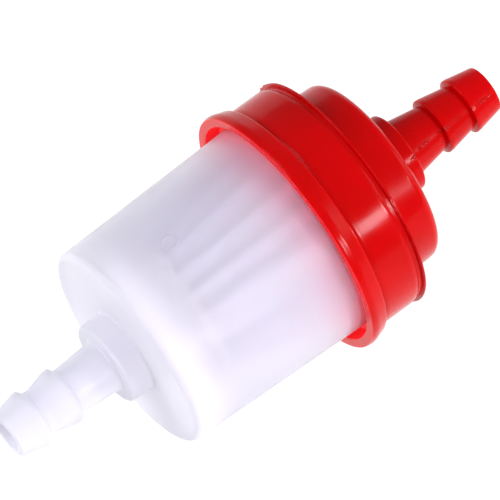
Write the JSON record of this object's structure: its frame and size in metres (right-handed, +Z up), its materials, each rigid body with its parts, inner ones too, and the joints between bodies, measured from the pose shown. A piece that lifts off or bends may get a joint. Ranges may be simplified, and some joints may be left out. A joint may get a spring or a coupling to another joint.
{
  "type": "fuel filter",
  "caption": "Inline fuel filter for a small engine: translucent cup with an inlet barb, push-on red cap with an outlet barb, and a pleated element inside.",
  "frame": {"origin": "centre of the inlet barb's mouth", "axes": "+X along the filter's axis, the way the fuel flows, towards the outlet barb; +Z up"},
  "size_m": [0.0785, 0.036, 0.036],
  "materials": {
    "cup_plastic": "translucent natural moulded plastic, smooth",
    "cap_plastic": "deep red moulded plastic, glossy",
    "element_plastic": "natural white moulded plastic, matte",
    "filter_cloth": "pleated filter paper, fibrous",
    "adhesive": "cured potting adhesive, satin",
    "seal_rubber": "black fuel-resistant rubber"
  },
  "bodies": {
    "cup": {"cup_housing": "cup_plastic"},
    "cap": {"outlet_cap": "cap_plastic", "rim_gasket": "seal_rubber"},
    "element": {"element_collar": "cap_plastic", "element_seal": "seal_rubber", "end_disc": "element_plastic", "support_cage": "element_plastic", "pleated_media": "filter_cloth", "potting_front": "adhesive", "potting_back": "adhesive"}
  },
  "joints": [
    {"name": "cap_pull", "type": "slide", "parent": "cup", "child": "cap", "axis": [1, 0, 0], "range_m": [0, 0.05]},
    {"name": "element_pull", "type": "slide", "parent": "cap", "child": "element", "axis": [-1, 0, 0], "range_m": [0, 0.0046]}
  ]
}
